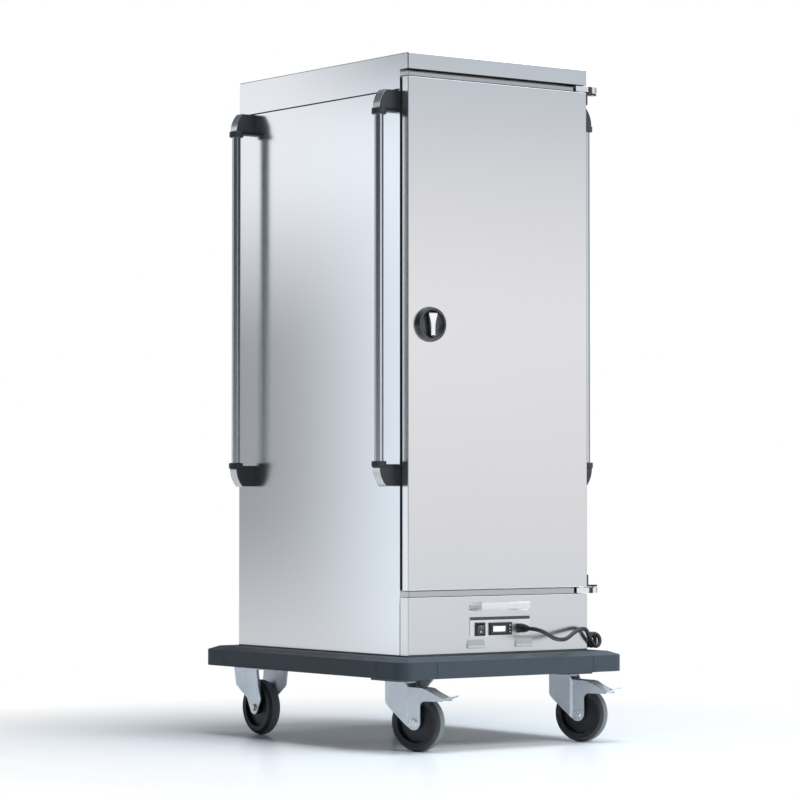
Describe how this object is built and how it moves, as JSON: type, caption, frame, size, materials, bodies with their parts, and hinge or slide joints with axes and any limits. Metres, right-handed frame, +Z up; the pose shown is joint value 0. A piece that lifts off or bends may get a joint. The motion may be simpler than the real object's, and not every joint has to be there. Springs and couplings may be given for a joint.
{
  "type": "heated banquet cart",
  "caption": "Tall insulated stainless banquet cart with a hinged door, turn latch, side push handles, bumper chassis, castors with lock pedals and a curly mains lead.",
  "frame": {"origin": "on the floor under the middle of the cabinet", "axes": "+Z up, -Y the way the door faces, +X to the right of someone facing the door"},
  "size_m": [0.7869, 1.002, 1.904],
  "materials": {
    "body_steel": "satin",
    "inner_steel": "satin",
    "zinc_steel": "satin",
    "bright_steel": "satin",
    "slate_plastic": "satin",
    "black_plastic": "satin",
    "gloss_black": "gloss",
    "silver_plastic": "satin",
    "pale_window": "gloss",
    "black_rubber": "matte",
    "tyre_rubber": "matte",
    "wool_insulation": "matte"
  },
  "bodies": {
    "cabinet": {"chassis": "zinc_steel", "bumper_profiles": "slate_plastic", "bumper_corners": "slate_plastic", "side_panels": "body_steel", "rear_panel": "body_steel", "top_cover": "body_steel", "front_frame": "inner_steel", "gap_rails": "body_steel", "plinth_panel": "body_steel", "liner_walls": "inner_steel", "insulation": "wool_insulation", "rack_uprights": "inner_steel", "tray_runners": "inner_steel", "hinge_arms": "bright_steel", "latch_keeper": "inner_steel", "handle_tubes": "body_steel", "handle_brackets": "black_plastic", "handle_trims": "silver_plastic", "control_panel": "body_steel", "switch_housing": "black_plastic", "thermostat": "black_plastic", "display_window": "pale_window", "cord_gland": "black_plastic", "heater_tray": "inner_steel", "heating_element": "inner_steel", "castor_plates": "zinc_steel", "fixed_forks": "zinc_steel", "fixed_axles": "bright_steel", "cord_lead": "black_rubber", "cord_coil": "black_rubber", "cord_tail": "black_rubber", "mains_plug": "black_rubber", "plug_pins": "bright_steel"},
    "door": {"door_skin": "body_steel", "door_core": "wool_insulation", "door_liner": "inner_steel", "door_gasket": "black_rubber", "door_brackets": "zinc_steel", "latch_rosette": "gloss_black"},
    "latch": {"latch_grip": "silver_plastic", "latch_spindle": "zinc_steel"},
    "rocker": {"switch_rocker": "gloss_black"},
    "set_button": {"key_set": "black_plastic"},
    "up_button": {"key_up": "black_plastic"},
    "down_button": {"key_down": "black_plastic"},
    "swivel_left": {"swivel_fork_left": "zinc_steel", "swivel_axle_left": "bright_steel"},
    "front_wheel_left": {"front_rim_left": "black_plastic", "front_tyre_left": "tyre_rubber"},
    "pedal_left": {"brake_pedal_left": "zinc_steel"},
    "rear_wheel_left": {"rear_rim_left": "black_plastic", "rear_tyre_left": "tyre_rubber"},
    "swivel_right": {"swivel_fork_right": "zinc_steel", "swivel_axle_right": "bright_steel"},
    "front_wheel_right": {"front_rim_right": "black_plastic", "front_tyre_right": "tyre_rubber"},
    "pedal_right": {"brake_pedal_right": "zinc_steel"},
    "rear_wheel_right": {"rear_rim_right": "black_plastic", "rear_tyre_right": "tyre_rubber"}
  },
  "joints": [
    {"name": "door_hinge", "type": "hinge", "parent": "cabinet", "child": "door", "pos_m": [0.347, -0.403, 1.138], "axis": [0, 0, 1], "range_deg": [0, 195]},
    {"name": "latch_turn", "type": "hinge", "parent": "door", "child": "latch", "pos_m": [-0.241, -0.415, 1.163], "axis": [0, 1, 0], "range_deg": [0, 90]},
    {"name": "switch_tilt", "type": "hinge", "parent": "cabinet", "child": "rocker", "pos_m": [-0.0705, -0.417, 0.328], "axis": [-1, 0, 0], "range_deg": [0, 16]},
    {"name": "set_press", "type": "slide", "parent": "cabinet", "child": "set_button", "axis": [0, 1, 0], "range_m": [0, 0.0008], "stiffness_N_per_m": 400, "springref_m": -0.0005},
    {"name": "up_press", "type": "slide", "parent": "cabinet", "child": "up_button", "axis": [0, 1, 0], "range_m": [0, 0.0008], "stiffness_N_per_m": 400, "springref_m": -0.0005},
    {"name": "down_press", "type": "slide", "parent": "cabinet", "child": "down_button", "axis": [0, 1, 0], "range_m": [0, 0.0008], "stiffness_N_per_m": 400, "springref_m": -0.0005},
    {"name": "swivel_turn_left", "type": "hinge", "parent": "cabinet", "child": "swivel_left", "pos_m": [-0.288, -0.342, 0.18], "axis": [0, 0, 1], "continuous": true},
    {"name": "front_roll_left", "type": "hinge", "parent": "swivel_left", "child": "front_wheel_left", "pos_m": [-0.26573, -0.39447, 0.08], "axis": [0.9205, 0.3907, 0], "continuous": true},
    {"name": "pedal_lift_left", "type": "hinge", "parent": "swivel_left", "child": "pedal_left", "pos_m": [-0.27003, -0.38434, 0.167], "axis": [-0.9205, -0.3907, 0], "range_deg": [0, 14]},
    {"name": "rear_roll_left", "type": "hinge", "parent": "cabinet", "child": "rear_wheel_left", "pos_m": [-0.27, 0.365, 0.08], "axis": [1, 0, 0], "continuous": true},
    {"name": "swivel_turn_right", "type": "hinge", "parent": "cabinet", "child": "swivel_right", "pos_m": [0.288, -0.342, 0.18], "axis": [0, 0, 1], "continuous": true},
    {"name": "front_roll_right", "type": "hinge", "parent": "swivel_right", "child": "front_wheel_right", "pos_m": [0.31027, -0.39447, 0.08], "axis": [0.9205, 0.3907, 0], "continuous": true},
    {"name": "pedal_lift_right", "type": "hinge", "parent": "swivel_right", "child": "pedal_right", "pos_m": [0.30597, -0.38434, 0.167], "axis": [-0.9205, -0.3907, 0], "range_deg": [0, 14]},
    {"name": "rear_roll_right", "type": "hinge", "parent": "cabinet", "child": "rear_wheel_right", "pos_m": [0.27, 0.365, 0.08], "axis": [1, 0, 0], "continuous": true}
  ]
}
